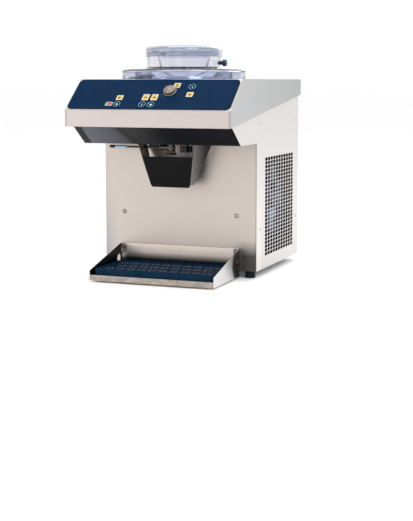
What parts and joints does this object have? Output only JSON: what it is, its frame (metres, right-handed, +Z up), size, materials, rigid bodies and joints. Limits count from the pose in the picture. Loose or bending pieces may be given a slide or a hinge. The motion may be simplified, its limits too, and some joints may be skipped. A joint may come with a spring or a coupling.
{
  "type": "soft serve machine",
  "caption": "Countertop soft serve machine: boxy cabinet with overhanging sloped console, clear round lid, chute with pull rod, and hung drip tray.",
  "frame": {"origin": "on the ground, under the middle of the machine's outline", "axes": "+Z up, -Y towards the serving side, +X to the right seen from the front"},
  "size_m": [0.464, 0.618, 0.629],
  "materials": {
    "panel_paint": "satin warm grey paint",
    "cabinet_paint": "satin light grey paint",
    "hood_paint": "satin grey metallic paint",
    "stainless": "polished stainless sheet",
    "chrome": "bright plated",
    "galvanised": "galvanised sheet",
    "copper": "copper tube",
    "aluminium": "machined",
    "navy_plastic": "satin navy blue",
    "black_plastic": "satin black",
    "black_rubber": "matt black",
    "black_enamel": "semi-gloss black",
    "foam": "cream insulating foam",
    "board_green": "green circuit board",
    "clear_plastic": "clear, faintly lilac plastic"
  },
  "bodies": {
    "machine": {"back_panel": "cabinet_paint", "bearing_housing": "aluminium", "cheek_left": "cabinet_paint", "cheek_right": "cabinet_paint", "chute": "stainless", "compressor": "black_enamel", "condensed_line": "copper", "condenser": "aluminium", "console_underside": "black_enamel", "control_board": "board_green", "control_fascia": "navy_plastic", "deck_plate": "galvanised", "discharge_line": "copper", "drive_belt": "black_rubber", "evaporator_coil": "copper", "fan_motor": "galvanised", "fan_shroud": "black_plastic", "floor_pan": "galvanised", "foot_front_left": "black_rubber", "foot_front_right": "black_rubber", "foot_rear_left": "black_rubber", "foot_rear_right": "black_rubber", "freezing_cylinder": "stainless", "front_panel": "panel_paint", "hood": "hood_paint", "insulation_jacket": "foam", "motor": "black_enamel", "nozzle": "stainless", "outlet_body": "stainless", "panel_screw_left": "stainless", "panel_screw_right": "stainless", "power_inlet": "black_plastic", "side_panel_left": "cabinet_paint", "side_panel_right": "cabinet_paint", "suction_line": "copper", "tray_stud_left": "stainless", "tray_stud_right": "stainless"},
    "rotor": {"beater": "navy_plastic", "drive_shaft": "stainless", "driven_pulley": "aluminium"},
    "motor_rotor": {"motor_pulley": "aluminium"},
    "fan": {"condenser_fan": "black_plastic"},
    "lid": {"lid_flange": "clear_plastic", "lid_plug": "clear_plastic", "lid_dome": "clear_plastic", "lid_gasket": "black_rubber", "hopper_funnel": "clear_plastic"},
    "cap": {"lid_cap": "clear_plastic"},
    "lid_lock": {"lid_lock_knob": "navy_plastic"},
    "knob": {"control_knob": "chrome"},
    "pull_rod": {"valve_plunger": "black_plastic", "draw_rod": "chrome", "rod_tip": "black_plastic"},
    "clamp_knob": {"star_knob": "black_plastic"},
    "tray": {"tray": "stainless"},
    "mat": {"tray_mat": "navy_plastic"},
    "button_start": {"button_start": "stainless"},
    "button_stop": {"button_stop": "stainless"},
    "button_clean": {"button_clean": "stainless"},
    "button_power": {"button_power": "stainless"}
  },
  "joints": [
    {"name": "beater_spin", "type": "hinge", "parent": "machine", "child": "rotor", "pos_m": [0, -0.044, 0.45], "axis": [0, 0, 1], "continuous": true},
    {"name": "motor_spin", "type": "hinge", "parent": "machine", "child": "motor_rotor", "pos_m": [0, 0.171, 0.36], "axis": [0, 0, 1], "continuous": true},
    {"name": "fan_spin", "type": "hinge", "parent": "machine", "child": "fan", "pos_m": [0.152, 0.126, 0.185], "axis": [1, 0, 0], "continuous": true},
    {"name": "lid_lift", "type": "slide", "parent": "machine", "child": "lid", "axis": [0, 0, 1], "range_m": [0, 0.15]},
    {"name": "cap_lift", "type": "slide", "parent": "lid", "child": "cap", "axis": [0, 0, 1], "range_m": [0, 0.06]},
    {"name": "lock_turn", "type": "hinge", "parent": "lid", "child": "lid_lock", "pos_m": [0.12, -0.044, 0.584], "axis": [1, 0, 0], "range_deg": [0, 90]},
    {"name": "knob_turn", "type": "hinge", "parent": "machine", "child": "knob", "pos_m": [0.0465, -0.25546, 0.5051], "axis": [0, -0.6442, 0.7648], "range_deg": [-150, 150]},
    {"name": "rod_pull", "type": "slide", "parent": "machine", "child": "pull_rod", "axis": [-1, 0, 0], "range_m": [0, 0.03]},
    {"name": "clamp_turn", "type": "hinge", "parent": "machine", "child": "clamp_knob", "pos_m": [0.04, -0.129, 0.35], "axis": [0, 0, 1], "continuous": true},
    {"name": "tray_unhook", "type": "slide", "parent": "machine", "child": "tray", "axis": [0, 0, 1], "range_m": [0, 0.012]},
    {"name": "mat_lift", "type": "slide", "parent": "tray", "child": "mat", "axis": [0, 0, 1], "range_m": [0, 0.05]},
    {"name": "button_start_press", "type": "slide", "parent": "machine", "child": "button_start", "axis": [0, 0.6442, -0.7648], "range_m": [0, 0.0008], "stiffness_N_per_m": 400, "springref_m": -0.001},
    {"name": "button_stop_press", "type": "slide", "parent": "machine", "child": "button_stop", "axis": [0, 0.6442, -0.7648], "range_m": [0, 0.0008], "stiffness_N_per_m": 400, "springref_m": -0.001},
    {"name": "button_clean_press", "type": "slide", "parent": "machine", "child": "button_clean", "axis": [0, 0.6442, -0.7648], "range_m": [0, 0.0008], "stiffness_N_per_m": 400, "springref_m": -0.001},
    {"name": "button_power_press", "type": "slide", "parent": "machine", "child": "button_power", "axis": [0, 0.6442, -0.7648], "range_m": [0, 0.0008], "stiffness_N_per_m": 400, "springref_m": -0.001}
  ],
  "couplings": [
    {"joint": "motor_spin", "follows": "beater_spin", "ratio": 3.25}
  ]
}
